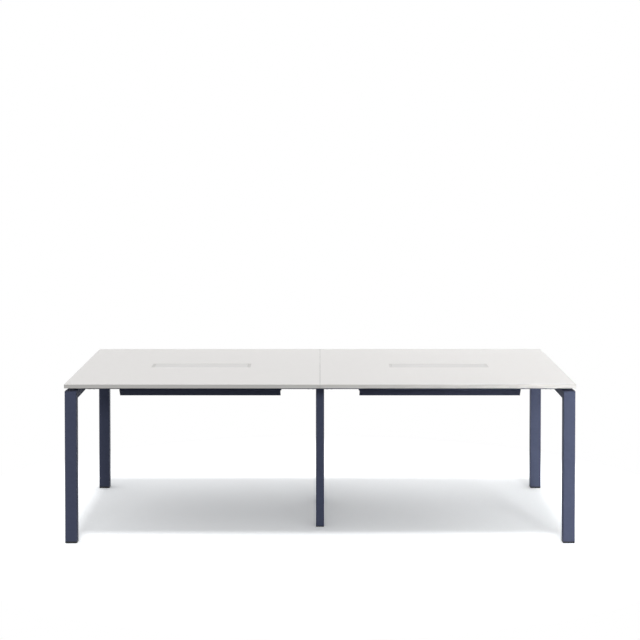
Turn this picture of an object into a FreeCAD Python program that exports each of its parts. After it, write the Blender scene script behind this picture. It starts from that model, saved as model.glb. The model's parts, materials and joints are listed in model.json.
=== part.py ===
# Conference table: a two-part top with cable flaps and cable trays, on a steel tube frame.
# Millimetres. X runs along the table, Y across it with the front at -Y, and Z up.
# The origin lies on the floor, below the middle of the top.
import FreeCAD, Part
import math
import os

from FreeCAD import Vector

# Top: two boards with edge bands, which meet at a fine seam
table_length = 2400.0
table_depth = 1200.0
table_height = 750.0
top_thickness = 18.0
seam_gap = 0.4
band_thickness = 2.0
band_round = 0.6
band_joint_gap = 0.1

# Frame: end frames of two legs and a rail, beams along the table, and a slimmer mid frame
frame_inset = 2.0
spacer_height = 15.0
leg_width = 55.0
leg_corner = 4.0
mid_leg_width = 40.0
bar_height = 40.0
beam_width = 40.0
bar_corner = 3.0
tube_wall = 2.0
beam_setback = 310.0
leg_plate_thickness = 3.0

# Spigots inside the beam ends
spigot_length = 50.0
spigot_wall = 3.0
spigot_corner = 1.5
spigot_screw_size = 6.0
spigot_screw_length = 12.0
spigot_screw_margin = 14.0

# Spacers between the frame and the top
spacer_diameter = 30.0
rail_spacer_margin = 120.0
beam_spacer_margin = 70.0
spacers_per_bar = 3
access_hole_diameter = 14.0
top_screw_size = 5.0
top_screw_length = 30.0

# Plates that hold the two boards level at the seam
seam_plate_length = 120.0
seam_plate_width = 50.0
seam_plate_thickness = 3.0
seam_plate_corner = 6.0
seam_plate_edge_margin = 150.0
seam_screw_margin = 15.0

# Cable flap in each board
opening_length = 500.0
opening_depth = 125.0
end_block_length = 12.0
lid_thickness = 8.0
lid_recess = 0.2
lid_gap = 1.0
lid_grip_chamfer = 4.0
lid_rear_round = 2.0
hinge_setback = 5.0
hinge_drop = 3.0
hinge_pin_diameter = 3.0
pin_in_lid = 20.0
pin_in_block = 8.0
ledge_reach = 8.0
ledge_thickness = 5.0
ledge_hinge_gap = 12.0
bumper_diameter = 6.0
bumper_thickness = 2.0
bumper_stand = 0.8
bumper_margin = 15.0
block_flange_reach = 25.0
block_flange_thickness = 3.0
block_screw_margin = 20.0

# Cable tray below each flap
tray_length = 805.0
tray_bottom_width = 172.0
tray_bevel = 31.0
tray_drop = 120.0
tray_sheet = 1.5
tray_bend_radius = 1.5
tray_flange = 20.0
tray_slot_length = 130.0
tray_slot_width = 40.0
tray_slot_bridge = 28.0
tray_slot_corner = 6.0
tray_slots = 3
tray_notch_length = 40.0
tray_edge_strip = 21.5
tray_screw_margin = 40.0
tray_screws_per_flange = 4

# Screws that fix trays, end blocks and seam plates from below
small_screw_size = 4.0
small_screw_length = 15.0

# Feet: a cap that plugs the leg and a levelling glide in its recess
leg_foot_height = 9.0
mid_foot_height = 5.0
foot_plug_height = 20.0
leg_pad_diameter = 30.0
leg_pad_height = 6.0
mid_pad_diameter = 24.0
mid_pad_height = 3.2
pad_chamfer = 0.8
glide_stem_diameter = 8.0
glide_stem_length = 38.0
foot_insert_diameter = 14.0
foot_insert_height = 14.0

# Screw shape, as shares of the thread size
head_width_share = 2.0
head_height_share = 0.6
socket_width_share = 1.1
socket_depth_share = 0.35
tip_width_share = 0.5

# Clearances, a side
slide_clearance = 0.2
weld_clearance = 0.1
thread_clearance = 0.05
running_clearance = 0.05
press_clearance = 0.01
screw_hole_clearance = 0.3
opening_clearance = 0.3
bumper_rest_gap = 0.05
pilot_spare_depth = 0.5
pad_rest_gap = 0.4
pad_clearance = 2.0
stem_hole_clearance = 0.5

# Levels
top_under = table_height - top_thickness
frame_top = top_under - spacer_height
bar_under = frame_top - bar_height

# Frame places in the quarter with positive X and Y
leg_outer_x = table_length / 2 - frame_inset
leg_outer_y = table_depth / 2 - frame_inset
leg_inner_x = leg_outer_x - leg_width
leg_inner_y = leg_outer_y - leg_width
leg_centre_x = leg_outer_x - leg_width / 2
leg_centre_y = leg_outer_y - leg_width / 2
beam_outer_y = leg_outer_y - beam_setback
beam_inner_y = beam_outer_y - beam_width
beam_centre_y = beam_outer_y - beam_width / 2
mid_half_width = mid_leg_width / 2
mid_inner_y = beam_outer_y - mid_leg_width
mid_centre_y = beam_outer_y - mid_half_width

# Places in the right-hand board
board_inner_x = seam_gap / 2
board_outer_x = table_length / 2
board_centre_x = (board_inner_x + board_outer_x) / 2
opening_start_x = board_centre_x - opening_length / 2
block_start_x = opening_start_x + opening_clearance
block_end_x = block_start_x + end_block_length
lid_start_x = block_end_x + lid_gap
lid_end_x = 2 * board_centre_x - lid_start_x
lid_top = table_height - lid_recess
lid_under = lid_top - lid_thickness
hinge_y = opening_depth / 2 - hinge_setback
hinge_z = table_height - hinge_drop
ledge_top = lid_under - bumper_rest_gap - bumper_stand
ledge_end_x = block_end_x + ledge_reach
flange_start_x = block_start_x - block_flange_reach
tray_half_bottom = tray_bottom_width / 2
tray_half_width = tray_half_bottom + tray_bevel
tray_start_x = board_centre_x - tray_length / 2
tray_under = top_under - tray_drop

AXES = {"X": Vector(1, 0, 0), "Y": Vector(0, 1, 0), "Z": Vector(0, 0, 1)}
UP = AXES["Z"]
HEXAGON_SIDES = 6
NEAR = 0.001


# Basic shapes

def block(low, high):
    """Box between its lowest and highest corner."""
    size = [b - a for a, b in zip(low, high)]
    return Part.makeBox(*size, Vector(*low))


def rod(start, radius, length, axis="Z"):
    """Cylinder from a point along one axis."""
    return Part.makeCylinder(radius, length, Vector(*start), AXES[axis])


def edges_along(shape, axis):
    """Straight edges that run along one axis."""
    straight = [edge for edge in shape.Edges if isinstance(edge.Curve, Part.Line)]
    return [edge for edge in straight if edge.Curve.Direction.cross(AXES[axis]).Length < NEAR]


def edges_at(shape, axis, **place):
    """Edges along one axis that lie at the given coordinates, such as y=3, z=7."""
    found = []
    for edge in edges_along(shape, axis):
        middle = edge.CenterOfMass
        if all(abs(getattr(middle, name) - value) < NEAR for name, value in place.items()):
            found.append(edge)
    return found


def rounded(shape, axis, radius):
    """A shape with all its edges along one axis rounded."""
    return shape.makeFillet(radius, edges_along(shape, axis))


def tube(low, high, axis, wall, corner):
    """Square tube along one axis, with rounded corners inside and outside."""
    outer = rounded(block(low, high), axis, corner)
    walls = [0 if name == axis else wall for name in AXES]
    bore_low = [value + step for value, step in zip(low, walls)]
    bore_high = [value - step for value, step in zip(high, walls)]
    bore = block(bore_low, bore_high)
    if corner > wall:
        bore = rounded(bore, axis, corner - wall)
    return outer.cut(bore)


def spaced(first, last, count):
    """Evenly spaced values from the first to the last."""
    step = (last - first) / (count - 1)
    return [first + step * number for number in range(count)]


def mirror_x(shape):
    """The same shape on the other half of the table's length."""
    return shape.mirror(Vector(0, 0, 0), AXES["X"])


def mirror_y(shape):
    """The same shape on the other half of the table's depth."""
    return shape.mirror(Vector(0, 0, 0), AXES["Y"])


def both_halves(shapes):
    """Right-hand pieces with their left-hand twins, as one group."""
    return Part.makeCompound(shapes + [mirror_x(shape) for shape in shapes])


def all_quarters(shapes):
    """Pieces of one quarter of the table with their twins in the other three, as one group."""
    right = shapes + [mirror_y(shape) for shape in shapes]
    return both_halves(right)


def upward_screw(point, seat, size, length):
    """Screw driven upwards at an X, Y point: its head bears on the seat level from below."""
    x, y = point
    radius = size / 2
    head_height = size * head_height_share
    head = rod((x, y, seat - head_height), radius * head_width_share, head_height)
    shank = rod((x, y, seat), radius, length - radius)
    tip_start = Vector(x, y, seat + length - radius)
    tip = Part.makeCone(radius, radius * tip_width_share, radius, tip_start, UP)
    socket_radius = radius * socket_width_share
    corners = []
    for number in range(HEXAGON_SIDES + 1):
        angle = 2 * math.pi * number / HEXAGON_SIDES
        corner_x = x + socket_radius * math.cos(angle)
        corner_y = y + socket_radius * math.sin(angle)
        corners.append(Vector(corner_x, corner_y, seat - head_height))
    socket = Part.Face(Part.makePolygon(corners)).extrude(UP * size * socket_depth_share)
    return head.fuse([shank, tip]).removeSplitter().cut(socket)


def pilot_hole(point, size, depth):
    """Blind hole in the board's lower face that a wood screw fills."""
    return rod((*point, top_under), size / 2 + thread_clearance, depth + pilot_spare_depth)


def screw_hole(point, low, high, size):
    """Clear hole for a screw between two levels."""
    return rod((*point, low), size / 2 + screw_hole_clearance, high - low)


# Places of screws on the right-hand half

def rail_spacer_points():
    """Spacers along the end rail."""
    reach = leg_inner_y - rail_spacer_margin
    return [(leg_centre_x, y) for y in spaced(-reach, reach, spacers_per_bar)]


def beam_spacer_points():
    """Spacers along the rear beam."""
    first = mid_half_width + beam_spacer_margin
    last = leg_inner_x - beam_spacer_margin
    return [(x, beam_centre_y) for x in spaced(first, last, spacers_per_bar)]


def spacer_points():
    """All spacers below the right-hand board."""
    rear = beam_spacer_points()
    front = [(x, -y) for x, y in rear]
    return rail_spacer_points() + rear + front


def tray_screw_points():
    """Screws through both flanges of the tray."""
    margin = tray_start_x + tray_screw_margin
    across = tray_half_width + tray_flange / 2
    along = spaced(margin, 2 * board_centre_x - margin, tray_screws_per_flange)
    return [(x, y) for y in (-across, across) for x in along]


def end_block_screw_points():
    """Screws through the flange of the inner end block."""
    x = flange_start_x + block_flange_reach / 2
    reach = opening_depth / 2 - block_screw_margin
    return [(x, -reach), (x, reach)]


def flap_screw_points():
    """Screws of both end blocks of the flap."""
    inner = end_block_screw_points()
    return inner + [(2 * board_centre_x - x, y) for x, y in inner]


def seam_plate_places():
    """Y of each plate across the seam."""
    reach = table_depth / 2 - seam_plate_edge_margin
    return [-reach, 0.0, reach]


def seam_screw_points():
    """Screws on the right-hand half of every seam plate."""
    x = seam_plate_length / 2 - seam_screw_margin
    across = seam_plate_width / 2 - seam_screw_margin
    return [(x, y + side * across) for y in seam_plate_places() for side in (-1, 1)]


def spigot_screw_places():
    """X of the screws along a spigot, counted from its fixed end."""
    return [spigot_screw_margin, spigot_length - spigot_screw_margin]


# Top

def top_board():
    """Faced board with the flap opening and the pilot holes of its screws."""
    low = (board_inner_x + band_thickness, -table_depth / 2 + band_thickness, top_under)
    high = (board_outer_x - band_thickness, table_depth / 2 - band_thickness, table_height)
    opening = block(
        (opening_start_x, -opening_depth / 2, top_under),
        (opening_start_x + opening_length, opening_depth / 2, table_height),
    )
    top_grip = top_screw_length - tube_wall - spacer_height
    cuts = [opening]
    cuts += [pilot_hole(point, top_screw_size, top_grip) for point in spacer_points()]
    small_sets = [
        (tray_screw_points(), tray_sheet),
        (flap_screw_points(), block_flange_thickness),
        (seam_screw_points(), seam_plate_thickness),
    ]
    for points, sheet in small_sets:
        grip = small_screw_length - sheet
        cuts += [pilot_hole(point, small_screw_size, grip) for point in points]
    return block(low, high).cut(cuts)


def edge_band():
    """Four strips round the board, rounded along their outer edges, with fine joints between them."""
    outer_y = table_depth / 2
    inner_y = outer_y - band_thickness
    strip = block((board_inner_x, inner_y, top_under), (board_outer_x, outer_y, table_height))
    soft = []
    for z in (top_under, table_height):
        soft += edges_at(strip, "X", y=outer_y, z=z)
        soft += edges_at(strip, "Y", x=board_inner_x, z=z)
        soft += edges_at(strip, "Y", x=board_outer_x, z=z)
    for x in (board_inner_x, board_outer_x):
        soft += edges_at(strip, "Z", x=x, y=outer_y)
    rear = strip.makeFillet(band_round, soft)
    end_start_x = board_outer_x - band_thickness
    end_y = inner_y - band_joint_gap
    end = block((end_start_x, -end_y, top_under), (board_outer_x, end_y, table_height))
    soft = []
    for z in (top_under, table_height):
        soft += edges_at(end, "Y", x=board_outer_x, z=z)
    outer_end = end.makeFillet(band_round, soft)
    return Part.makeCompound([rear, mirror_y(rear), outer_end, across_board(outer_end)])


def seam_plates():
    """Flat plates below the joint of the two boards."""
    plates = []
    half = seam_plate_length / 2
    level = top_under - seam_plate_thickness
    holes = [screw_hole(point, level, top_under, small_screw_size) for point in seam_screw_points()]
    holes += [mirror_x(hole) for hole in holes]
    for y in seam_plate_places():
        reach = seam_plate_width / 2
        plate = block((-half, y - reach, level), (half, y + reach, top_under))
        plates.append(rounded(plate, "Z", seam_plate_corner).cut(holes))
    return Part.makeCompound(plates)


# Cable flap

def flap_lid():
    """Lid with a rounded rear edge, a chamfer to lift it by and bores for its hinge pins."""
    front_y = -opening_depth / 2 + lid_gap
    rear_y = opening_depth / 2 - lid_gap
    lid = block((lid_start_x, front_y, lid_under), (lid_end_x, rear_y, lid_top))
    lid = lid.makeFillet(lid_rear_round, edges_at(lid, "X", y=rear_y, z=lid_top))
    lid = lid.makeChamfer(lid_grip_chamfer, edges_at(lid, "X", y=front_y, z=lid_top))
    radius = hinge_pin_diameter / 2 + press_clearance
    depth = pin_in_lid + pilot_spare_depth
    bores = [
        rod((lid_start_x, hinge_y, hinge_z), radius, depth, "X"),
        rod((lid_end_x - depth, hinge_y, hinge_z), radius, depth, "X"),
    ]
    return lid.cut(bores)


def hinge_pins():
    """One pin at each end of the lid."""
    length = pin_in_lid + lid_gap + pin_in_block
    inner = rod((block_end_x - pin_in_block, hinge_y, hinge_z), hinge_pin_diameter / 2, length, "X")
    return Part.makeCompound([inner, across_board(inner)])


def across_board(shape):
    """The same shape at the other end of the right-hand board."""
    return shape.mirror(Vector(board_centre_x, 0, 0), AXES["X"])


def bumper_place():
    """X, Y of the bumper on the inner end block."""
    return (block_end_x + (lid_gap + ledge_reach) / 2, -opening_depth / 2 + bumper_margin)


def end_block():
    """Inner end block: it fills the end of the opening, carries the hinge pin and stops the lid."""
    reach = opening_depth / 2 - opening_clearance
    flange_under = top_under - block_flange_thickness
    upright = block((block_start_x, -reach, flange_under), (block_end_x, reach, lid_top))
    ledge = block(
        (block_end_x, -reach, ledge_top - ledge_thickness),
        (ledge_end_x, hinge_y - ledge_hinge_gap, ledge_top),
    )
    flange = block((flange_start_x, -reach, flange_under), (block_start_x, reach, top_under))
    bore_depth = pin_in_block + pilot_spare_depth
    bore_start = (block_end_x - bore_depth, hinge_y, hinge_z)
    cuts = [rod(bore_start, hinge_pin_diameter / 2 + running_clearance, bore_depth, "X")]
    cuts += [
        screw_hole(point, flange_under, top_under, small_screw_size) for point in end_block_screw_points()
    ]
    pocket_depth = bumper_thickness - bumper_stand
    pocket_start = (*bumper_place(), ledge_top - pocket_depth)
    cuts.append(rod(pocket_start, bumper_diameter / 2 + thread_clearance, pocket_depth))
    return upright.fuse([ledge, flange]).removeSplitter().cut(cuts)


def lid_bumper():
    """Rubber disc in the inner end block, just below the closed lid."""
    start = (*bumper_place(), ledge_top + bumper_stand - bumper_thickness)
    return rod(start, bumper_diameter / 2, bumper_thickness)


# Cable tray

def tray_profile():
    """Outline of the bent sheet in the Y-Z plane, from the bottom's middle out to the rear flange."""
    mitre = tray_sheet * (math.sqrt(2) - 1)
    bevel_top = tray_under + tray_bevel
    flange_tip = tray_half_width + tray_flange
    outside = [
        (tray_half_bottom, tray_under),
        (tray_half_width, bevel_top),
        (tray_half_width, top_under - tray_sheet),
        (flange_tip, top_under - tray_sheet),
    ]
    inside = [
        (flange_tip, top_under),
        (tray_half_width - tray_sheet, top_under),
        (tray_half_width - tray_sheet, bevel_top + mitre),
        (tray_half_bottom - mitre, tray_under + tray_sheet),
    ]
    return outside, inside


def bent_sheet():
    """The tray before its holes: a sheet bent to the profile, with rounded bends."""
    outside, inside = tray_profile()
    rear = outside + inside
    front = [(-y, z) for y, z in reversed(rear)]
    outline = [Vector(tray_start_x, y, z) for y, z in rear + front]
    sheet = Part.Face(Part.makePolygon(outline + outline[:1])).extrude(AXES["X"] * tray_length)
    convex = [outside[0], outside[1], inside[1]]
    hollow = [inside[3], inside[2], outside[2]]
    for bends, radius in ((convex, tray_bend_radius + tray_sheet), (hollow, tray_bend_radius)):
        edges = []
        for y, z in bends:
            edges += edges_at(sheet, "X", y=y, z=z)
            edges += edges_at(sheet, "X", y=-y, z=z)
        sheet = sheet.makeFillet(radius, edges)
    return sheet


def floor_cut(x_low, x_high, half_width):
    """Opening through the tray's floor with rounded corners."""
    low = (x_low, -half_width, tray_under - tray_sheet)
    high = (x_high, half_width, tray_under + 2 * tray_sheet)
    return rounded(block(low, high), "Z", tray_slot_corner)


def cable_tray():
    """Tray with cable slots in its floor, a notch at each end and holes in its flanges."""
    pitch = tray_slot_length + tray_slot_bridge
    first = board_centre_x - (pitch * tray_slots - tray_slot_bridge) / 2
    cuts = []
    for number in range(tray_slots):
        start = first + pitch * number
        cuts.append(floor_cut(start, start + tray_slot_length, tray_slot_width / 2))
    half_notch = tray_half_bottom - tray_edge_strip
    notch_end = tray_start_x + tray_notch_length
    notch = floor_cut(tray_start_x - tray_notch_length, notch_end, half_notch)
    cuts += [notch, across_board(notch)]
    level = top_under - tray_sheet
    cuts += [screw_hole(point, level, top_under, small_screw_size) for point in tray_screw_points()]
    return bent_sheet().cut(cuts)


# Steel frame

def corner_leg():
    """Rear right leg tube."""
    low = (leg_inner_x, leg_inner_y, leg_foot_height)
    return tube(low, (leg_outer_x, leg_outer_y, frame_top), "Z", tube_wall, leg_corner)


def mid_leg():
    """Rear leg tube below the seam."""
    low = (-mid_half_width, mid_inner_y, mid_foot_height)
    return tube(low, (mid_half_width, beam_outer_y, frame_top), "Z", tube_wall, bar_corner)


def leg_top_plate(centre, width, corner):
    """Plate that closes a leg tube, flush with its top."""
    reach = width / 2 - tube_wall - weld_clearance
    x, y = centre
    low = (x - reach, y - reach, frame_top - leg_plate_thickness)
    plate = block(low, (x + reach, y + reach, frame_top))
    return rounded(plate, "Z", corner)


def top_screw_holes(points):
    """Holes in a bar for the top's screws: clear holes above, wide access holes below."""
    holes = []
    for point in points:
        holes.append(screw_hole(point, frame_top - tube_wall, frame_top, top_screw_size))
        holes.append(rod((*point, bar_under), access_hole_diameter / 2, tube_wall))
    return holes


def end_rail():
    """Rail between the two right-hand legs."""
    low = (leg_inner_x, -leg_inner_y, bar_under)
    rail = tube(low, (leg_outer_x, leg_inner_y, frame_top), "Y", tube_wall, bar_corner)
    return rail.cut(top_screw_holes(rail_spacer_points()))


def spigot_screw_points():
    """Screws below both ends of the rear right beam."""
    places = spigot_screw_places()
    inner = [(mid_half_width + place, beam_centre_y) for place in places]
    return inner + [(leg_inner_x - place, beam_centre_y) for place in places]


def beam():
    """Rear right beam, from the mid leg to the end rail."""
    low = (mid_half_width, beam_inner_y, bar_under)
    bar = tube(low, (leg_inner_x, beam_outer_y, frame_top), "X", tube_wall, bar_corner)
    holes = top_screw_holes(beam_spacer_points())
    wall_top = bar_under + tube_wall
    holes += [screw_hole(point, bar_under, wall_top, spigot_screw_size) for point in spigot_screw_points()]
    return bar.cut(holes)


def spigot(start_x):
    """Short tube that a beam end slides over."""
    inset = tube_wall + slide_clearance
    low = (start_x, beam_inner_y + inset, bar_under + inset)
    high = (start_x + spigot_length, beam_outer_y - inset, frame_top - inset)
    radius = spigot_screw_size / 2 + thread_clearance
    holes = [rod((*point, low[2]), radius, spigot_wall) for point in spigot_screw_points()]
    return tube(low, high, "X", spigot_wall, spigot_corner).cut(holes)


def mid_cross_rail():
    """Rail between the two mid legs."""
    low = (-mid_half_width, -mid_inner_y, bar_under)
    return tube(low, (mid_half_width, mid_inner_y, frame_top), "Y", tube_wall, bar_corner)


def top_spacer(point):
    """Round spacer between the frame and the board."""
    disc = rod((*point, frame_top), spacer_diameter / 2, spacer_height)
    return disc.cut(screw_hole(point, frame_top, top_under, top_screw_size))


# Feet

def pad_recess_depth(pad_height):
    """Depth of the recess that hides a glide's pad."""
    return pad_rest_gap + pad_height + pad_rest_gap


def foot_cap(centre, width, height, corner, pad_diameter, pad_height):
    """Moulded cap: a sole as wide as the leg and a plug inside the tube."""
    x, y = centre
    reach = width / 2
    sole = rounded(block((x - reach, y - reach, 0), (x + reach, y + reach, height)), "Z", corner)
    inset = tube_wall + slide_clearance
    plug_reach = reach - inset
    plug_top = height + foot_plug_height
    plug = block((x - plug_reach, y - plug_reach, height), (x + plug_reach, y + plug_reach, plug_top))
    plug = rounded(plug, "Z", corner - slide_clearance)
    recess = rod((x, y, 0), pad_diameter / 2 + pad_clearance, pad_recess_depth(pad_height))
    stem_hole = rod((x, y, 0), glide_stem_diameter / 2 + stem_hole_clearance, plug_top)
    pocket_radius = foot_insert_diameter / 2 + press_clearance
    pocket = rod((x, y, plug_top - foot_insert_height), pocket_radius, foot_insert_height)
    return sole.fuse(plug).removeSplitter().cut([recess, stem_hole, pocket])


def foot_insert(centre, height):
    """Threaded steel sleeve at the top of a cap's plug."""
    start = (*centre, height + foot_plug_height - foot_insert_height)
    sleeve = rod(start, foot_insert_diameter / 2, foot_insert_height)
    return sleeve.cut(rod(start, glide_stem_diameter / 2 + thread_clearance, foot_insert_height))


def glide(centre, pad_diameter, pad_height):
    """Levelling glide, screwed all the way in: a pad with a threaded stem."""
    pad = rod((*centre, pad_rest_gap), pad_diameter / 2, pad_height)
    pad = pad.makeChamfer(pad_chamfer, pad.Edges)
    stem = rod((*centre, pad_rest_gap + pad_height), glide_stem_diameter / 2, glide_stem_length)
    return pad.fuse(stem).removeSplitter()


# Assembly

def add_pair(nodes, name, right):
    """A right-hand piece and its left-hand twin."""
    nodes[name + "_right"] = right
    nodes[name + "_left"] = mirror_x(right)


def add_four(nodes, name, rear_right):
    """A piece in each quarter of the table."""
    add_pair(nodes, name + "_rear", rear_right)
    add_pair(nodes, name + "_front", mirror_y(rear_right))


def add_mid_pair(nodes, name, rear):
    """A rear piece on the seam line and its front twin."""
    nodes[name + "_mid_rear"] = rear
    nodes[name + "_mid_front"] = mirror_y(rear)


def top_nodes():
    """Boards, bands, flaps, trays and what fixes them."""
    nodes = {}
    add_pair(nodes, "top_board", top_board())
    add_pair(nodes, "edge_band", edge_band())
    add_pair(nodes, "flap_lid", flap_lid())
    add_pair(nodes, "hinge_pins", hinge_pins())
    add_pair(nodes, "end_block_inner", end_block())
    add_pair(nodes, "end_block_outer", across_board(end_block()))
    add_pair(nodes, "cable_tray", cable_tray())
    nodes["lid_bumpers"] = both_halves([lid_bumper(), across_board(lid_bumper())])
    nodes["seam_plates"] = seam_plates()
    small_sets = {
        "tray_screws": (tray_screw_points(), tray_sheet),
        "end_block_screws": (flap_screw_points(), block_flange_thickness),
        "seam_screws": (seam_screw_points(), seam_plate_thickness),
    }
    for name, (points, sheet) in small_sets.items():
        seat = top_under - sheet
        screws = [upward_screw(point, seat, small_screw_size, small_screw_length) for point in points]
        nodes[name] = both_halves(screws)
    return nodes


def frame_nodes():
    """Legs, rails, beams and what joins them to each other and to the top."""
    nodes = {}
    add_four(nodes, "leg", corner_leg())
    add_pair(nodes, "end_rail", end_rail())
    add_four(nodes, "beam", beam())
    add_mid_pair(nodes, "leg", mid_leg())
    nodes["mid_cross_rail"] = mid_cross_rail()
    leg_centre = (leg_centre_x, leg_centre_y)
    plates = [leg_top_plate(leg_centre, leg_width, leg_corner - tube_wall)]
    nodes["leg_top_plates"] = all_quarters(plates)
    mid_plate = leg_top_plate((0, mid_centre_y), mid_leg_width, bar_corner - tube_wall)
    nodes["mid_leg_top_plates"] = Part.makeCompound([mid_plate, mirror_y(mid_plate)])
    nodes["beam_spigots"] = all_quarters([spigot(mid_half_width), spigot(leg_inner_x - spigot_length)])
    nodes["spigot_screws"] = all_quarters(
        [
            upward_screw(point, bar_under, spigot_screw_size, spigot_screw_length)
            for point in spigot_screw_points()
        ]
    )
    nodes["top_spacers"] = both_halves([top_spacer(point) for point in spacer_points()])
    seat = frame_top - tube_wall
    nodes["top_screws"] = both_halves(
        [upward_screw(point, seat, top_screw_size, top_screw_length) for point in spacer_points()]
    )
    return nodes


def foot_nodes():
    """Foot caps, their threaded sleeves and the levelling glides."""
    nodes = {}
    corner = (leg_centre_x, leg_centre_y)
    mid = (0, mid_centre_y)
    leg_pad = (leg_pad_diameter, leg_pad_height)
    mid_pad = (mid_pad_diameter, mid_pad_height)
    add_four(nodes, "foot_cap", foot_cap(corner, leg_width, leg_foot_height, leg_corner, *leg_pad))
    mid_cap = foot_cap(mid, mid_leg_width, mid_foot_height, bar_corner, *mid_pad)
    add_mid_pair(nodes, "foot_cap", mid_cap)
    add_four(nodes, "glide", glide(corner, *leg_pad))
    add_mid_pair(nodes, "glide", glide(mid, *mid_pad))
    mid_sleeve = foot_insert(mid, mid_foot_height)
    corner_sleeves = all_quarters([foot_insert(corner, leg_foot_height)]).Solids
    nodes["foot_inserts"] = Part.makeCompound(corner_sleeves + [mid_sleeve, mirror_y(mid_sleeve)])
    return nodes


def main():
    """Writes one file per node."""
    os.makedirs("parts", exist_ok=True)
    nodes = {**top_nodes(), **frame_nodes(), **foot_nodes()}
    for name, shape in nodes.items():
        shape.exportStep(f"parts/{name}.step")
    print(len(nodes), "nodes written")


main()
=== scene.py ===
import json
import math

import bmesh
import bpy
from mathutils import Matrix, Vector

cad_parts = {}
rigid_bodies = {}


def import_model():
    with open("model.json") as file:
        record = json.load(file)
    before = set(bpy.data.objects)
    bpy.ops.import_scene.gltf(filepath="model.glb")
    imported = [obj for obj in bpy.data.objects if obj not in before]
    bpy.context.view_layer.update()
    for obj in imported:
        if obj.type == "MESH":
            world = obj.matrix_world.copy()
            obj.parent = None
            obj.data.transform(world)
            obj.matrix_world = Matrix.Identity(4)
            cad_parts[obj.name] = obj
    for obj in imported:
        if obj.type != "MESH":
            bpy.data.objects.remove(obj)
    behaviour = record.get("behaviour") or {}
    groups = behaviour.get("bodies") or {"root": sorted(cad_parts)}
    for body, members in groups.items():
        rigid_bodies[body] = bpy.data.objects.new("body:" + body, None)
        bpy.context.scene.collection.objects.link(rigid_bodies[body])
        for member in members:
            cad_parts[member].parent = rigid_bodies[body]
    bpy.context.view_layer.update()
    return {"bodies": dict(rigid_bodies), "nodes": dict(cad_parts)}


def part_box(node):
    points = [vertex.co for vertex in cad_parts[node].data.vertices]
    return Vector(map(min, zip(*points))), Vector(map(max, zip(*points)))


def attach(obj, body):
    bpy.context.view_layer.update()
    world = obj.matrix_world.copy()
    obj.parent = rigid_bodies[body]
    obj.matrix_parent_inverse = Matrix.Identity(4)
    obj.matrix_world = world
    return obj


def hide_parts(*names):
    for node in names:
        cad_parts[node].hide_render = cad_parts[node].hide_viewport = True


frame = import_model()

bl_info = {
    "name": "Conference table looks",
    "version": (1, 0, 0),
    "blender": (4, 5, 0),
    "location": "View3D > Sidebar > Table",
    "description": "Finishes, fasteners, feet and studio for a two-part conference table",
    "category": "Object",
}

MM = 0.001

# Shares of a screw's thread size, as on the solids that the screws stand for
HEAD_TO_THREAD = 2.0
HEAD_HEIGHT_SHARE = 0.6
SOCKET_SHARE = 1.1
SOCKET_DEPTH_SHARE = 0.35

# Shares that the drawn shapes alone have: core and tip of a thread, bevel and wall of a head
CORE_SHARE = 0.8
TIP_SHARE = 0.35
BEVEL_SHARE = 0.8
HEAD_WALL_SHARE = 0.55

# Shares of a bumper's height and width, from its wall up over its dome
BUMPER_WALL_SHARE = 0.7
DOME_SIDE_SHARE = 0.2
DOME_TOP_SHARE = 0.1
DOME_SIDE_WIDTH = 0.88
DOME_TOP_WIDTH = 0.6

# Smoothness of turned shapes
SCREW_SIDES = 24
THREAD_SIDES = 12
RIDGE_SIDES = 4
RIB_SIDES = 4
SHARP_ANGLE = math.radians(30)
WELD_DISTANCE = 0.001 * MM

# Detail of a noise pattern, and the values between which most of it lies
NOISE_DETAIL = 3.0
NOISE_LOW = 0.3
NOISE_HIGH = 0.7

# Rays that feel how open the floor is: where the table hides the floor, the camera's glow is dimmed, a
# painted shade under the table
OPENNESS_RAYS = 8


# Properties

def linear(hex_colour):
    """Scene-linear colour of an sRGB hex value such as #E6E5E3."""
    shares = [int(hex_colour[start:start + 2], 16) / 255 for start in (1, 3, 5)]
    return tuple(s / 12.92 if s <= 0.04045 else ((s + 0.055) / 1.055) ** 2.4 for s in shares)


def tint(name, hex_colour, description):
    """Colour property with an sRGB hex default."""
    return bpy.props.FloatVectorProperty(
        name=name, description=description, default=linear(hex_colour), subtype="COLOR", min=0.0, max=1.0
    )


def length(name, millimetres, description):
    """Length property with a default in millimetres."""
    return bpy.props.FloatProperty(
        name=name, description=description, default=millimetres * MM, min=0.0, unit="LENGTH", precision=5
    )


def angle(name, degrees, description):
    """Angle property with a default in degrees."""
    return bpy.props.FloatProperty(
        name=name, description=description, default=math.radians(degrees), subtype="ANGLE"
    )


def power(name, watts, description):
    """Lamp power property with a default in watts."""
    return bpy.props.FloatProperty(name=name, description=description, default=watts, min=0.0, unit="POWER")


def point(name, metres, description):
    """Place property with a default in metres."""
    return bpy.props.FloatVectorProperty(
        name=name, description=description, default=metres, subtype="XYZ", unit="LENGTH"
    )


class TableColours(bpy.types.PropertyGroup):
    """Colours of the finishes"""

    board: tint("Board", "#EAE8E6", "White melamine face of the top boards")
    edging: tint("Edging", "#D3D2CF", "White edge strips of the top boards")
    lid: tint("Lid", "#D2D0CE", "Satin coat of the flap lids")
    block: tint("End block", "#D6D4D2", "Moulded end blocks of the flaps")
    frame: tint("Frame", "#50566D", "Powder coat of legs, rails, beams and trays")
    zinc: tint("Zinc", "#B9BABC", "Zinc plating of screws, plates and stems")
    steel: tint("Steel", "#C4C5C8", "Bright drawn steel of the hinge pins")
    black: tint("Black", "#232427", "Moulded foot caps, glide pads and spacers")
    rubber: tint("Rubber", "#8A8A88", "Lid bumpers")


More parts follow.
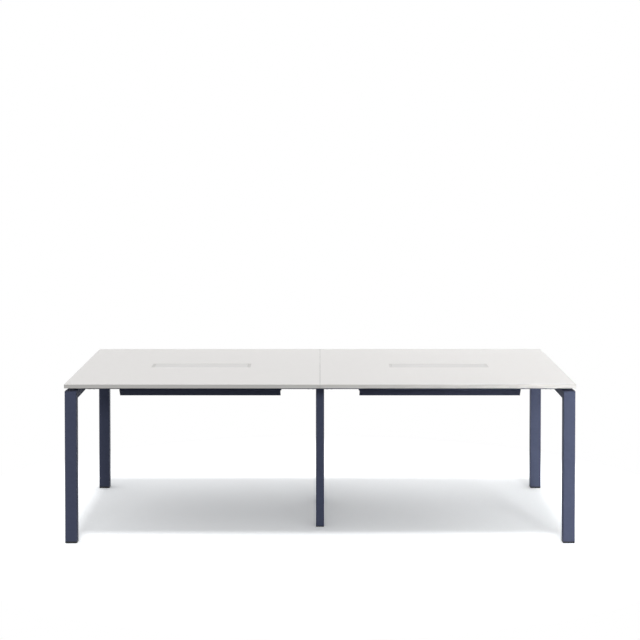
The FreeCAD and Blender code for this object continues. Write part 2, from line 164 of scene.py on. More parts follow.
class TableSizes(bpy.types.PropertyGroup):
    """Sizes of the small turned pieces"""

    wood_pitch: length("Wood screw pitch", 1.8, "Thread pitch of the screws in the boards")
    spigot_pitch: length("Spigot screw pitch", 1.0, "Thread pitch of the screws in the beam ends")
    stem_pitch: length("Stem pitch", 1.25, "Thread pitch of the levelling stems")
    stem_width: length("Stem width", 8.0, "Outer thread diameter of the levelling stems")
    corner_pad_height: length("Corner pad height", 6.0, "Height of the glide pads below the corner legs")
    mid_pad_height: length("Mid pad height", 3.2, "Height of the glide pads below the mid legs")
    pad_bevel: length("Pad bevel", 0.8, "Bevel of the glide pads' edges")
    rib_depth: length("Rib depth", 0.5, "Depth of the grip ribs round the glide pads")
    rib_count: bpy.props.IntProperty(
        name="Rib count", description="Grip ribs round each glide pad", default=24, min=3
    )


class StudioSettings(bpy.types.PropertyGroup):
    """Light, floor and camera"""

    key_strength: bpy.props.FloatProperty(
        name="Key strength", description="Overhead key light", default=1.42, min=0.0
    )
    key_tilt: angle("Key tilt", 15, "Lean of the key light towards the front")
    key_spread: angle("Key spread", 8, "Angle that the key light fills, for soft shadow edges")
    front_power: power("Front power", 340.0, "Wide softbox in front")
    front_place: point("Front place", (-0.8, -11.0, 3.5), "Middle of the front softbox")
    back_power: power("Back power", 20.0, "Wide softbox behind")
    back_place: point("Back place", (0.0, 3.8, 0.55), "Middle of the back softbox")
    wide_width: length("Wide width", 5000, "Width of the front and back softboxes")
    wide_height: length("Wide height", 1100, "Height of the front and back softboxes")
    wide_aim: length("Wide aim", 500, "Height above the floor that the front and back softboxes face")
    side_power: power("Side power", 21.5, "Gridded softbox at the right front")
    side_place: point("Side place", (3.3, -7.2, 2.1), "Middle of the side softbox")
    side_aim: point("Side aim", (1.9, 0.0, 0.7), "Point that the side softbox faces")
    side_width: length("Side width", 1300, "Width of the side softbox")
    side_height: length("Side height", 2800, "Height of the side softbox")
    side_spread: angle("Side spread", 29, "Angle that the grid of the side softbox lets through")
    sky_strength: bpy.props.FloatProperty(
        name="Sky strength", description="Even light from all round", default=0.3, min=0.0
    )
    floor: tint("Floor", "#FBFDFF", "Pale floor below the table, as seen")
    floor_bounce: tint("Floor bounce", "#606060", "Floor colour that reflects light on to the table")
    floor_glow: bpy.props.FloatProperty(
        name="Floor glow", description="Lift of the open floor that only the camera and reflections see",
        default=0.68, min=0.0, max=1.0,
    )
    floor_reach: length("Floor reach", 1500, "How far off something still takes away from the floor's lift")
    floor_near: length("Floor near", 1500, "Distance from the middle at which the floor starts to run out")
    floor_far: length("Floor far", 2000, "Distance from the middle at which the floor is plain white")
    floor_size: length("Floor size", 60000, "Side of the square floor")
    camera_place: point("Camera place", (0.0, -7.9, 1.934), "Where the camera stands")
    camera_tilt: angle("Camera tilt", 1.618, "How far the camera looks down")
    camera_lens: bpy.props.FloatProperty(
        name="Camera lens", description="Focal length on a 36 mm sensor", default=88.0, unit="CAMERA"
    )
    camera_shift: bpy.props.FloatProperty(
        name="Camera shift", description="Vertical lens shift, as a share of the picture", default=-0.225
    )


# Node trees

def add_node(tree, kind, inputs=None, **settings):
    """Adds a node, sets its options, and fills its inputs with values or links, or with a list of links."""
    node = tree.nodes.new(kind)
    for name, value in settings.items():
        setattr(node, name, value)
    for socket, value in (inputs or {}).items():
        if isinstance(value, (bpy.types.NodeSocket, list)):
            for source in value if isinstance(value, list) else [value]:
                tree.links.new(source, node.inputs[socket])
        else:
            node.inputs[socket].default_value = value
    return node


# Finishes

def uneven(tree, place, patch, low, high):
    """Soft noise from low to high, with patches of the given X, Y, Z sizes in millimetres."""
    per_metre = tuple(1 / (size * MM) for size in patch)
    spot = add_node(tree, "ShaderNodeMapping", {"Vector": place, "Scale": per_metre})
    pattern = {"Vector": spot.outputs["Vector"], "Scale": 1.0, "Detail": NOISE_DETAIL}
    noise = add_node(tree, "ShaderNodeTexNoise", pattern)
    limits = {"From Min": NOISE_LOW, "From Max": NOISE_HIGH, "To Min": low, "To Max": high}
    spread = add_node(tree, "ShaderNodeMapRange", {"Value": noise.outputs["Fac"], **limits})
    return spread.outputs["Result"]


def finish(name, colour, tone, gloss, relief, metallic=0.0, specular=0.5):
    """Material whose colour, roughness and surface each follow a soft pattern.

    A pattern is given by the sizes of its patches in millimetres and by its lowest and highest value: a share
    of the colour for tone, a roughness for gloss and a height in millimetres for relief."""
    material = bpy.data.materials.new(name)
    material.use_nodes = True
    tree = material.node_tree
    place = add_node(tree, "ShaderNodeTexCoord").outputs["Object"]
    toned = {"Value": uneven(tree, place, *tone), "Color": (*colour, 1.0)}
    varied = add_node(tree, "ShaderNodeHueSaturation", toned)
    raised = {"Height": uneven(tree, place, *relief), "Distance": MM, "Strength": 1.0}
    bump = add_node(tree, "ShaderNodeBump", raised)
    shader = tree.nodes["Principled BSDF"]
    shader.inputs["Metallic"].default_value = metallic
    shader.inputs["Specular IOR Level"].default_value = specular
    tree.links.new(varied.outputs["Color"], shader.inputs["Base Color"])
    tree.links.new(uneven(tree, place, *gloss), shader.inputs["Roughness"])
    tree.links.new(bump.outputs["Normal"], shader.inputs["Normal"])
    return material


def white_melamine(colours):
    """Melamine face pressed on particle board: an even satin white with a fine pearl grain."""
    # The pearl grain is about 1 mm on the real face, drawn at 5 mm so that it shows
    tone = ((9, 9, 9), 0.99, 1.005)
    gloss = ((40, 40, 40), 0.4, 0.46)
    relief = ((5, 5, 5), 0.0, 0.012)
    return finish("white_melamine", colours.board, tone, gloss, relief)


def abs_edging(colours):
    """Extruded ABS strip: satin white, with faint draw lines along its length."""
    tone = ((250, 250, 3), 0.98, 1.01)
    gloss = ((120, 120, 4), 0.38, 0.42)
    relief = ((300, 300, 1.5), 0.0, 0.005)
    return finish("abs_edging", colours.edging, tone, gloss, relief, specular=0.4)


def coated_aluminium(colours):
    """Extruded aluminium under a light grey satin coat: fine lines along the lid show through it."""
    # The lines are a fraction of a millimetre wide on the real lid, drawn at 3 mm so that they show
    tone = ((220, 4, 4), 0.97, 1.01)
    gloss = ((90, 5, 5), 0.28, 0.38)
    relief = ((180, 3, 3), 0.0, 0.02)
    return finish("coated_aluminium", colours.lid, tone, gloss, relief)


def moulded_grey(colours):
    """Moulded ABS with a spark-eroded texture: a dull light grey."""
    tone = ((6, 6, 6), 0.97, 1.02)
    gloss = ((12, 12, 12), 0.5, 0.6)
    relief = ((1.5, 1.5, 1.5), 0.0, 0.04)
    return finish("moulded_grey", colours.block, tone, gloss, relief)


def powder_coat(colours):
    """Slate navy powder coat baked on steel: satin, with a fine orange peel."""
    # The orange peel is 1 to 2 mm across on the real coat, drawn at 4 mm so that it shows
    tone = ((14, 14, 14), 0.96, 1.04)
    gloss = ((25, 25, 25), 0.58, 0.68)
    relief = ((4, 4, 4), 0.0, 0.06)
    return finish("powder_coat", colours.frame, tone, gloss, relief, specular=0.13)


def zinc_plate(colours):
    """Zinc plated steel: a bright grey metal, clouded by its passivation."""
    tone = ((7, 7, 7), 0.9, 1.05)
    gloss = ((4, 4, 4), 0.3, 0.45)
    relief = ((1, 1, 1), 0.0, 0.01)
    return finish("zinc_plate", colours.zinc, tone, gloss, relief, metallic=1.0)


def drawn_steel(colours):
    """Bright steel rod: fine lines along its length from drawing."""
    tone = ((20, 0.8, 0.8), 0.92, 1.04)
    gloss = ((12, 0.6, 0.6), 0.2, 0.34)
    relief = ((25, 0.5, 0.5), 0.0, 0.01)
    return finish("drawn_steel", colours.steel, tone, gloss, relief, metallic=1.0)


def black_moulding(colours):
    """Moulded polypropylene: dull black with a fine texture, greyer where it has been scuffed."""
    tone = ((10, 10, 10), 0.85, 1.2)
    gloss = ((8, 8, 8), 0.5, 0.66)
    relief = ((1.2, 1.2, 1.2), 0.0, 0.05)
    return finish("black_moulding", colours.black, tone, gloss, relief)


def grey_rubber(colours):
    """Soft moulded rubber: matt grey with a faint bloom."""
    tone = ((2, 2, 2), 0.92, 1.06)
    gloss = ((1.5, 1.5, 1.5), 0.7, 0.85)
    relief = ((0.5, 0.5, 0.5), 0.0, 0.02)
    return finish("grey_rubber", colours.rubber, tone, gloss, relief, specular=0.3)


def finish_of(make, context):
    """The finish that a function makes, made once and then shared."""
    return bpy.data.materials.get(make.__name__) or make(context.scene.table_colours)


def dress(context, make, *starts):
    """Gives a finish to every solid whose name begins with one of the given words."""
    names = [name for name in frame["nodes"] if name.startswith(starts)]
    if not names:
        raise RuntimeError(f"no solid is named {starts}")
    for name in names:
        for slot in frame["nodes"][name].material_slots:
            slot.material = finish_of(make, context)


# Turned shapes

def new_tree(name, sizes):
    """Geometry tree with a material input and one named input for each size: returns it and its inputs."""
    tree = bpy.data.node_groups.new(name, "GeometryNodeTree")
    tree.interface.new_socket("Geometry", in_out="OUTPUT", socket_type="NodeSocketGeometry")
    tree.interface.new_socket("Places", in_out="INPUT", socket_type="NodeSocketGeometry")
    tree.interface.new_socket("Material", in_out="INPUT", socket_type="NodeSocketMaterial")
    for size in sizes:
        tree.interface.new_socket(size, in_out="INPUT", socket_type="NodeSocketFloat")
    return tree, add_node(tree, "NodeGroupInput").outputs


def turned(tree, sides, radius, steps):
    """Shell that grows upwards from a disc: each step is a rise and a change of width.

    Returns the shell, the selection of its top face, and the disc that closes its foot."""
    disc = add_node(tree, "GeometryNodeMeshCircle", {"Vertices": sides, "Radius": radius}, fill_type="NGON")
    foot = add_node(tree, "GeometryNodeFlipFaces", {"Mesh": disc.outputs["Mesh"]})
    shell = disc.outputs["Mesh"]
    top = True
    for rise, widening in steps:
        grown = add_node(
            tree, "GeometryNodeExtrudeMesh", {"Mesh": shell, "Selection": top, "Offset Scale": rise}
        )
        top = grown.outputs["Top"]
        widened = add_node(
            tree,
            "GeometryNodeScaleElements",
            {"Geometry": grown.outputs["Mesh"], "Selection": top, "Scale": widening},
        )
        shell = widened.outputs["Geometry"]
    return shell, top, foot.outputs["Mesh"]


def closed(tree, shells):
    """Shells joined, with their meeting edges welded."""
    joined = add_node(tree, "GeometryNodeJoinGeometry", {"Geometry": shells})
    welded = {"Geometry": joined.outputs["Geometry"], "Distance": WELD_DISTANCE}
    return add_node(tree, "GeometryNodeMergeByDistance", welded).outputs["Geometry"]


def threaded(tree, body, given):
    """Body with a ridge that winds up round its core."""
    path = add_node(
        tree,
        "GeometryNodeCurveSpiral",
        {
            "Resolution": THREAD_SIDES,
            "Rotations": given["Thread turns"],
            "Start Radius": given["Core radius"],
            "End Radius": given["Core radius"],
            "Height": given["Thread height"],
        },
    )
    section = add_node(
        tree,
        "GeometryNodeCurvePrimitiveCircle",
        {"Resolution": RIDGE_SIDES, "Radius": given["Ridge height"]},
    )
    ridge = add_node(
        tree,
        "GeometryNodeCurveToMesh",
        {"Curve": path.outputs["Curve"], "Profile Curve": section.outputs["Curve"], "Fill Caps": True},
    )
    lift = add_node(tree, "ShaderNodeCombineXYZ", {"Z": given["Thread start"]})
    lifted = add_node(
        tree,
        "GeometryNodeTransform",
        {"Geometry": ridge.outputs["Mesh"], "Translation": lift.outputs["Vector"]},
    )
    both = [body, lifted.outputs["Geometry"]]
    return add_node(tree, "GeometryNodeJoinGeometry", {"Geometry": both}).outputs["Geometry"]


def end_tree(tree, given, shape, turn=0.0):
    """Sharpens the corners, sets a turned copy at every place and ends in one mesh with its material."""
    smooth = add_node(tree, "GeometryNodeSetShadeSmooth", {"Geometry": shape, "Shade Smooth": True})
    bend = add_node(tree, "GeometryNodeInputMeshEdgeAngle").outputs["Unsigned Angle"]
    corner = add_node(tree, "FunctionNodeCompare", {0: bend, 1: SHARP_ANGLE}, operation="GREATER_THAN")
    crisp = add_node(
        tree,
        "GeometryNodeSetShadeSmooth",
        {
            "Geometry": smooth.outputs["Geometry"],
            "Selection": corner.outputs["Result"],
            "Shade Smooth": False,
        },
        domain="EDGE",
    )
    copies = add_node(
        tree,
        "GeometryNodeInstanceOnPoints",
        {
            "Points": given["Places"],
            "Instance": crisp.outputs["Geometry"],
            "Rotation": (turn, 0.0, 0.0),
        },
    )
    real = add_node(tree, "GeometryNodeRealizeInstances", {"Geometry": copies.outputs["Instances"]})
    coated = add_node(
        tree,
        "GeometryNodeSetMaterial",
        {"Geometry": real.outputs["Geometry"], "Material": given["Material"]},
    )
    add_node(tree, "NodeGroupOutput", {"Geometry": coated.outputs["Geometry"]})
    return tree


def turn_about_axis(tree):
    """Position, and the angle of it round the upright axis."""
    place = add_node(tree, "GeometryNodeInputPosition").outputs["Position"]
    axes = add_node(tree, "ShaderNodeSeparateXYZ", {"Vector": place}).outputs
    turn = add_node(tree, "ShaderNodeMath", {0: axes["Y"], 1: axes["X"]}, operation="ARCTAN2")
    return place, turn.outputs["Value"]


def hexagon(tree, mesh, selection):
    """Draws the selected round face in to a hexagon with the same corners."""
    half_side = math.radians(30)
    place, turn = turn_about_axis(tree)
    from_corner = add_node(tree, "ShaderNodeMath", {0: turn, 1: half_side}, operation="PINGPONG")
    off_middle = {0: half_side, 1: from_corner.outputs["Value"]}
    from_middle = add_node(tree, "ShaderNodeMath", off_middle, operation="SUBTRACT")
    cosine = add_node(tree, "ShaderNodeMath", {0: from_middle.outputs["Value"]}, operation="COSINE")
    side_over_reach = {0: math.cos(half_side), 1: cosine.outputs["Value"]}
    draw_in = add_node(tree, "ShaderNodeMath", side_over_reach, operation="DIVIDE").outputs["Value"]
    scale = add_node(tree, "ShaderNodeCombineXYZ", {"X": draw_in, "Y": draw_in, "Z": 1.0})
    scaled = {0: place, 1: scale.outputs["Vector"]}
    moved = add_node(tree, "ShaderNodeVectorMath", scaled, operation="MULTIPLY")
    drawn = {"Geometry": mesh, "Selection": selection, "Position": moved.outputs["Vector"]}
    return add_node(tree, "GeometryNodeSetPosition", drawn).outputs["Geometry"]


def ribbed(tree, mesh, given, count):
    """Draws in the outermost rings of a turned shape to round grip ribs."""
    place, turn = turn_about_axis(tree)
    flat = add_node(tree, "ShaderNodeVectorMath", {0: place, 1: (1, 1, 0)}, operation="MULTIPLY")
    reach = add_node(tree, "ShaderNodeVectorMath", {0: flat.outputs["Vector"]}, operation="LENGTH")
    past_face = {0: reach.outputs["Value"], 1: given["Rim start"]}
    rim = add_node(tree, "FunctionNodeCompare", past_face, operation="GREATER_THAN")
    around = add_node(tree, "ShaderNodeMath", {0: turn, 1: count}, operation="MULTIPLY")
    wave = add_node(tree, "ShaderNodeMath", {0: around.outputs["Value"]}, operation="COSINE")
    wave_range = {"Value": wave.outputs["Value"], "From Min": 1.0, "From Max": -1.0, "To Min": 0.0}
    inward = add_node(tree, "ShaderNodeMapRange", {**wave_range, "To Max": given["Rib rise"]})
    out = add_node(tree, "ShaderNodeVectorMath", {0: flat.outputs["Vector"]}, operation="NORMALIZE")
    by_wave = {0: out.outputs["Vector"], "Scale": inward.outputs["Result"]}
    step = add_node(tree, "ShaderNodeVectorMath", by_wave, operation="SCALE")
    drawn = {"Geometry": mesh, "Selection": rim.outputs["Result"], "Offset": step.outputs["Vector"]}
    return add_node(tree, "GeometryNodeSetPosition", drawn).outputs["Geometry"]


THREAD_INPUTS = ("Core radius", "Ridge height", "Thread start", "Thread height", "Thread turns")


def thread_sizes(width, pitch, start, height):
    """Inputs of a thread that stays inside its outer width."""
    return {
        "Core radius": width * CORE_SHARE / 2,
        "Ridge height": width * (1 - CORE_SHARE) / 2,
        "Thread start": start,
        "Thread height": height,
        "Thread turns": height / pitch,
    }


def screw_tree():
    """Screws with a threaded shank and a bevelled head with a hexagon socket, heads down."""
    names = ("Tip radius", "Head wall", "Head bevel", "Socket rise", *THREAD_INPUTS)
    tree, given = new_tree("Socket screws", names)
    steps = [
        (given["Thread start"], CORE_SHARE / TIP_SHARE),
        (given["Thread height"], 1.0),
        (0.0, HEAD_TO_THREAD / CORE_SHARE),
        (given["Head wall"], 1.0),
        (given["Head bevel"], BEVEL_SHARE),
        (0.0, SOCKET_SHARE / (HEAD_TO_THREAD * BEVEL_SHARE)),
    ]
    shell, top, foot = turned(tree, SCREW_SIDES, given["Tip radius"], steps)
    socket = {"Mesh": hexagon(tree, shell, top), "Selection": top, "Offset Scale": given["Socket rise"]}
    sunk = add_node(tree, "GeometryNodeExtrudeMesh", socket)
    body = closed(tree, [sunk.outputs["Mesh"], foot])
    return end_tree(tree, given, threaded(tree, body, given), math.pi)


def screw_sizes(box, pitch):
    """Inputs of the screw that fills a box."""
    low, high = box
    width = (high.x - low.x) / HEAD_TO_THREAD
    head = width * HEAD_HEIGHT_SHARE
    tip = width / 2
    return {
        "Tip radius": width * TIP_SHARE / 2,
        "Head wall": head * HEAD_WALL_SHARE,
        "Head bevel": head * (1 - HEAD_WALL_SHARE),
        "Socket rise": -width * SOCKET_DEPTH_SHARE,
        **thread_sizes(width, pitch, tip, high.z - low.z - head - tip),
    }


def stem_tree():
    """Levelling stems: a threaded rod with a blunt tip, upright from its foot."""
    tree, given = new_tree("Levelling stems", ("Rod height", *THREAD_INPUTS))
    steps = [(given["Rod height"], 1.0), (given["Ridge height"], CORE_SHARE)]
    shell, _, foot = turned(tree, SCREW_SIDES, given["Core radius"], steps)
    return end_tree(tree, given, threaded(tree, closed(tree, [shell, foot]), given))


def stem_sizes(sizes, height):
    """Inputs of a levelling stem of a given height."""
    ridge = sizes.stem_width * (1 - CORE_SHARE) / 2
    rod = height - ridge
    return {"Rod height": rod, **thread_sizes(sizes.stem_width, sizes.stem_pitch, ridge, rod - ridge)}


def pad_tree(rib_count):
    """Glide pads: bevelled discs with grip ribs round their edge."""
    names = ("Face radius", "Rim start", "Bevel", "Wall", "Widening", "Narrowing", "Rib rise")
    tree, given = new_tree("Glide pads", names)
    steps = [(given["Bevel"], given["Widening"]), (given["Wall"], 1.0), (given["Bevel"], given["Narrowing"])]
    shell, _, foot = turned(tree, RIB_SIDES * rib_count, given["Face radius"], steps)
    return end_tree(tree, given, closed(tree, [ribbed(tree, shell, given, rib_count), foot]))


def pad_sizes(sizes, width, height):
    """Inputs of a glide pad of a given width and height."""
    radius = width / 2
    face = radius - sizes.pad_bevel
    return {
        "Face radius": face,
        "Rim start": (radius + face) / 2,
        "Bevel": sizes.pad_bevel,
        "Wall": height - 2 * sizes.pad_bevel,
        "Widening": radius / face,
        "Narrowing": face / radius,
        "Rib rise": -sizes.rib_depth,
    }


def bumper_tree():
    """Lid bumpers: discs with a domed top."""
    tree, given = new_tree("Lid bumpers", ("Radius", "Wall", "Dome side", "Dome top"))
    steps = [
        (given["Wall"], 1.0),
        (given["Dome side"], DOME_SIDE_WIDTH),
        (given["Dome top"], DOME_TOP_WIDTH),
    ]
    shell, _, foot = turned(tree, SCREW_SIDES, given["Radius"], steps)
    return end_tree(tree, given, closed(tree, [shell, foot]))


def bumper_sizes(box):
    """Inputs of the bumper that fills a box."""
    low, high = box
    height = high.z - low.z
    return {
        "Radius": (high.x - low.x) / 2,
        "Wall": height * BUMPER_WALL_SHARE,
        "Dome side": height * DOME_SIDE_SHARE,
        "Dome top": height * DOME_TOP_SHARE,
    }


# Pieces

def solid_boxes(node):
    """Lowest and highest corner of each separate solid of a node."""
    work = bmesh.new()
    work.from_mesh(frame["nodes"][node].data)
    bmesh.ops.remove_doubles(work, verts=work.verts, dist=WELD_DISTANCE)
    left = set(work.verts)
    boxes = []
    while left:
        found = {left.pop()}
        edge_of_search = list(found)
        while edge_of_search:
            vert = edge_of_search.pop()
            near = {edge.other_vert(vert) for edge in vert.link_edges} - found
            found |= near
            edge_of_search += near
        left -= found
        low = Vector([min(vert.co[axis] for vert in found) for axis in range(3)])
        high = Vector([max(vert.co[axis] for vert in found) for axis in range(3)])
        boxes.append((low, high))
    work.free()
    return sorted(boxes, key=lambda box: tuple(box[0]))


def grow(name, places, tree, material, sizes):
    """Runs a tree on points and leaves its result as a plain mesh object."""
    cloud = bpy.data.meshes.new(name)
    cloud.from_pydata(places, [], [])
    piece = bpy.data.objects.new(name, cloud)
    bpy.context.scene.collection.objects.link(piece)
    shape = piece.modifiers.new("Shape", "NODES")
    shape.node_group = tree
    given = {"Material": material, **sizes}
    for item in tree.interface.items_tree:
        if item.in_out == "INPUT" and item.name in given:
            shape[item.identifier] = given[item.name]
    graph = bpy.context.evaluated_depsgraph_get()
    mesh = bpy.data.meshes.new_from_object(piece.evaluated_get(graph), depsgraph=graph)
    piece.modifiers.remove(shape)
    piece.data = mesh
    mesh.name = name
    bpy.data.meshes.remove(cloud)
    if not mesh.polygons:
        raise RuntimeError(f"{name} came out empty")
    return piece


def settle(piece, body, slot, *nodes):
    """Lets a piece ride on its body and hides the solids that it stands for; the slot is not used."""
    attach(piece, body)
    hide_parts(*nodes)


# Operators for the table

class TABLE_OT_top(bpy.types.Operator):
    """Finish the top boards and their edge strips"""

    bl_idname = "table.top"
    bl_label = "Top boards"

    def execute(self, context):
        dress(context, white_melamine, "top_board")
        dress(context, abs_edging, "edge_band")
        return {"FINISHED"}


class TABLE_OT_flaps(bpy.types.Operator):
    """Finish the flap lids, end blocks and hinge pins, and make the lid bumpers"""

    bl_idname = "table.flaps"
    bl_label = "Cable flaps"

    def execute(self, context):
        dress(context, coated_aluminium, "flap_lid")
        dress(context, moulded_grey, "end_block_inner", "end_block_outer")
        dress(context, drawn_steel, "hinge_pins")
        boxes = solid_boxes("lid_bumpers")
        feet = [((low.x + high.x) / 2, (low.y + high.y) / 2, low.z) for low, high in boxes]
        rubber = finish_of(grey_rubber, context)
        piece = grow("lid_bumper_set", feet, bumper_tree(), rubber, bumper_sizes(boxes[0]))
        settle(piece, "table", "bumper_rubber", "lid_bumpers")
        return {"FINISHED"}


class TABLE_OT_frame(bpy.types.Operator):
    """Finish the steel frame, the cable trays, the plates and the spacers"""

    bl_idname = "table.frame"
    bl_label = "Frame and trays"

    def execute(self, context):
        dress(context, powder_coat, "leg_", "mid_", "end_rail", "beam_front", "beam_rear", "cable_tray")
        dress(context, zinc_plate, "seam_plates", "beam_spigots")
        dress(context, black_moulding, "top_spacers")
        return {"FINISHED"}


class TABLE_OT_screws(bpy.types.Operator):
    """Make the screws below the top and in the beam ends"""

    bl_idname = "table.screws"
    bl_label = "Screws"

    def execute(self, context):
        sizes = context.scene.table_sizes
        tree = screw_tree()
        zinc = finish_of(zinc_plate, context)
        pitches = {
            "tray_screws": sizes.wood_pitch,
            "end_block_screws": sizes.wood_pitch,
            "seam_screws": sizes.wood_pitch,
            "top_screws": sizes.wood_pitch,
            "spigot_screws": sizes.spigot_pitch,
        }
        for node, pitch in pitches.items():
            boxes = solid_boxes(node)
            tips = [((low.x + high.x) / 2, (low.y + high.y) / 2, high.z) for low, high in boxes]
            piece = grow(node + "_set", tips, tree, zinc, screw_sizes(boxes[0], pitch))
            settle(piece, "table", "plated_steel", node)
        return {"FINISHED"}


class TABLE_OT_feet(bpy.types.Operator):
    """Finish the foot caps and make the levelling glides"""

    bl_idname = "table.feet"
    bl_label = "Feet"

    def execute(self, context):
        dress(context, black_moulding, "foot_cap")
        dress(context, zinc_plate, "foot_inserts")
        black = finish_of(black_moulding, context)
        zinc = finish_of(zinc_plate, context)
        sizes = context.scene.table_sizes
        pads = pad_tree(sizes.rib_count)
        stems = stem_tree()
        for body in frame["bodies"]:
            if not body.startswith("glide"):
                continue
            low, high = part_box(body)
            middle = ((low.x + high.x) / 2, (low.y + high.y) / 2)
            height = sizes.mid_pad_height if "mid" in body else sizes.corner_pad_height
            pad_given = pad_sizes(sizes, high.x - low.x, height)
            pad = grow(body + "_pad", [(*middle, low.z)], pads, black, pad_given)
            settle(pad, body, "black_plastic", body)
            stem_given = stem_sizes(sizes, high.z - low.z - height)
            stem = grow(body + "_stem", [(*middle, low.z + height)], stems, zinc, stem_given)
            settle(stem, body, "plated_steel", body)
        return {"FINISHED"}


# Studio

def seen_directly(tree):
    """1 for rays from the camera, and for mirrored or passing ones, so that they all meet the same white."""
    path = add_node(tree, "ShaderNodeLightPath").outputs
    mirrored_or_passing = {0: path["Is Glossy Ray"], 1: path["Is Transmission Ray"]}
    sharp = add_node(tree, "ShaderNodeMath", mirrored_or_passing, operation="MAXIMUM")
    either = {0: path["Is Camera Ray"], 1: sharp.outputs["Value"]}
    return add_node(tree, "ShaderNodeMath", either, operation="MAXIMUM").outputs["Value"]


def studio_floor(studio):
    """Pale matt floor that keeps the shadow: the camera sees it lifted to white, and plain white far off."""
    material = bpy.data.materials.new("studio_floor")
    material.use_nodes = True
    tree = material.node_tree
    tree.nodes.clear()
    # Painted shade: the glow that lifts the floor to white for the camera is dimmed where the table hides the
    # floor, adding to the lamps' real shadow
    openness = add_node(
        tree, "ShaderNodeAmbientOcclusion", {"Distance": studio.floor_reach}, samples=OPENNESS_RAYS
    )
    share = {0: openness.outputs["AO"], 1: studio.floor_glow}
    lift = add_node(tree, "ShaderNodeMath", share, operation="MULTIPLY")
    colour = (*studio.floor, 1.0)
    glow = add_node(tree, "ShaderNodeEmission", {"Color": colour, "Strength": lift.outputs["Value"]})
    pale = add_node(tree, "ShaderNodeBsdfDiffuse", {"Color": colour})
    lifted = add_node(tree, "ShaderNodeAddShader", {0: pale.outputs["BSDF"], 1: glow.outputs["Emission"]})
    place = add_node(tree, "ShaderNodeTexCoord").outputs["Object"]
    distance = add_node(tree, "ShaderNodeVectorMath", {0: place}, operation="LENGTH").outputs["Value"]
    run_out = {"Value": distance, "From Min": studio.floor_near, "From Max": studio.floor_far}
    outer = add_node(tree, "ShaderNodeMapRange", run_out).outputs["Result"]
    plain = add_node(tree, "ShaderNodeEmission", {"Strength": 1.0})
    near_and_far = {"Fac": outer, 1: lifted.outputs["Shader"], 2: plain.outputs["Emission"]}
    shown = add_node(tree, "ShaderNodeMixShader", near_and_far)
    dull = add_node(tree, "ShaderNodeBsdfDiffuse", {"Color": (*studio.floor_bounce, 1.0)})
    ends = {"Fac": seen_directly(tree), 1: dull.outputs["BSDF"], 2: shown.outputs["Shader"]}
    both = add_node(tree, "ShaderNodeMixShader", ends)
    add_node(tree, "ShaderNodeOutputMaterial", {"Surface": both.outputs["Shader"]})
    return material


def studio_world(studio):
    """Even soft light from all round, behind which the camera sees plain white."""
    world = bpy.data.worlds.new("studio_world")
    world.use_nodes = True
    tree = world.node_tree
    tree.nodes.clear()
    white = (1.0, 1.0, 1.0, 1.0)
    soft = add_node(tree, "ShaderNodeBackground", {"Color": white, "Strength": studio.sky_strength})
    plain = add_node(tree, "ShaderNodeBackground", {"Color": white, "Strength": 1.0})
    ends = {"Fac": seen_directly(tree), 1: soft.outputs["Background"], 2: plain.outputs["Background"]}
    both = add_node(tree, "ShaderNodeMixShader", ends)
    add_node(tree, "ShaderNodeOutputWorld", {"Surface": both.outputs["Shader"]})
    return world


def add_lamp(name, kind, place, aim, mirrored=True, **settings):
    """Lamp at a place that faces a point, unseen by the camera and, unless mirrored, by glossy faces."""
    lamp = bpy.data.lights.new(name, kind)
    for setting, value in settings.items():
        setattr(lamp, setting, value)
    holder = bpy.data.objects.new(name, lamp)
    holder.location = place
    holder.rotation_euler = (Vector(aim) - Vector(place)).to_track_quat("-Z", "Y").to_euler()
    holder.visible_camera = False
    holder.visible_glossy = mirrored
    bpy.context.scene.collection.objects.link(holder)


def add_floor(studio):
    """Square floor at the level of the feet."""
    half = studio.floor_size / 2
    corners = [(-half, -half, 0), (half, -half, 0), (half, half, 0), (-half, half, 0)]
    mesh = bpy.data.meshes.new("floor")
    mesh.from_pydata(corners, [], [(0, 1, 2, 3)])
    mesh.materials.append(studio_floor(studio))
    floor = bpy.data.objects.new("floor", mesh)
    bpy.context.scene.collection.objects.link(floor)


def add_lights(studio):
    """Overhead key light, wide softboxes in front and behind, and a gridded one at the right front."""
    overhead = (0.0, -math.sin(studio.key_tilt), math.cos(studio.key_tilt))
    key = {"energy": studio.key_strength, "angle": studio.key_spread}
    add_lamp("key_light", "SUN", overhead, (0.0, 0.0, 0.0), **key)
    wide = {"shape": "RECTANGLE", "size": studio.wide_width, "size_y": studio.wide_height}
    back_aim = (studio.back_place.x, 0.0, studio.wide_aim)
    add_lamp("back_softbox", "AREA", studio.back_place, back_aim, energy=studio.back_power, **wide)
    # Mirrored in the top, the two softboxes in front would bleach it as seen from behind
    front = {"mirrored": False, "energy": studio.front_power, **wide}
    front_aim = (studio.front_place.x, 0.0, studio.wide_aim)
    add_lamp("front_softbox", "AREA", studio.front_place, front_aim, **front)
    gridded = {"shape": "RECTANGLE", "size": studio.side_width, "size_y": studio.side_height}
    side = {"mirrored": False, "energy": studio.side_power, "spread": studio.side_spread, **gridded}
    add_lamp("side_softbox", "AREA", studio.side_place, studio.side_aim, **side)


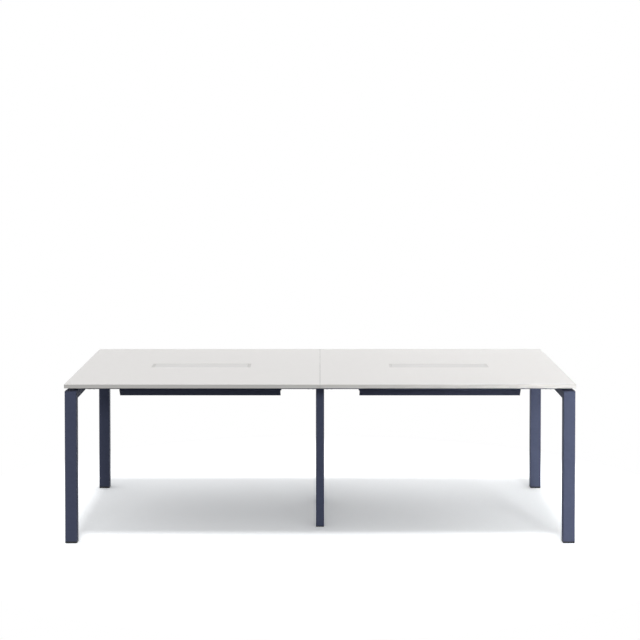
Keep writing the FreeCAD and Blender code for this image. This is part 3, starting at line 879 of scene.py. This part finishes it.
def add_camera(studio):
    """Camera that looks along the table's depth."""
    camera = bpy.data.cameras.new("camera")
    camera.lens = studio.camera_lens
    camera.shift_y = studio.camera_shift
    holder = bpy.data.objects.new("camera", camera)
    holder.location = studio.camera_place
    holder.rotation_euler = (math.pi / 2 - studio.camera_tilt, 0.0, 0.0)
    bpy.context.scene.collection.objects.link(holder)
    bpy.context.scene.camera = holder


class TABLE_OT_stage(bpy.types.Operator):
    """Set up the floor, the lights and the camera"""

    bl_idname = "table.stage"
    bl_label = "Stage"

    def execute(self, context):
        studio = context.scene.table_studio
        context.scene.world = studio_world(studio)
        context.scene.view_settings.view_transform = "Standard"
        add_floor(studio)
        add_lights(studio)
        add_camera(studio)
        return {"FINISHED"}


# Panel and registration

class TABLE_PT_looks(bpy.types.Panel):
    """Lists the steps that dress the table, and their settings"""

    bl_idname = "TABLE_PT_looks"
    bl_label = "Conference table"
    bl_space_type = "VIEW_3D"
    bl_region_type = "UI"
    bl_category = "Table"

    def draw(self, context):
        for operator in OPERATORS:
            self.layout.operator(operator.bl_idname)
        for name, group in GROUPS.items():
            box = self.layout.box()
            for setting in group.__annotations__:
                box.prop(getattr(context.scene, name), setting)


GROUPS = {"table_colours": TableColours, "table_sizes": TableSizes, "table_studio": StudioSettings}
OPERATORS = (TABLE_OT_top, TABLE_OT_flaps, TABLE_OT_frame, TABLE_OT_screws, TABLE_OT_feet, TABLE_OT_stage)
CLASSES = (*GROUPS.values(), *OPERATORS, TABLE_PT_looks)


def register():
    """Adds the classes and hangs the settings on the scene."""
    for cls in CLASSES:
        bpy.utils.register_class(cls)
    for name, group in GROUPS.items():
        setattr(bpy.types.Scene, name, bpy.props.PointerProperty(type=group))


def unregister():
    """Takes the settings and the classes away again."""
    for name in GROUPS:
        delattr(bpy.types.Scene, name)
    for cls in reversed(CLASSES):
        bpy.utils.unregister_class(cls)


def main():
    """Dresses the table step by step."""
    register()
    bpy.ops.table.top()
    bpy.ops.table.flaps()
    bpy.ops.table.frame()
    bpy.ops.table.screws()
    bpy.ops.table.feet()
    bpy.ops.table.stage()


if __name__ == "__main__":
    main()
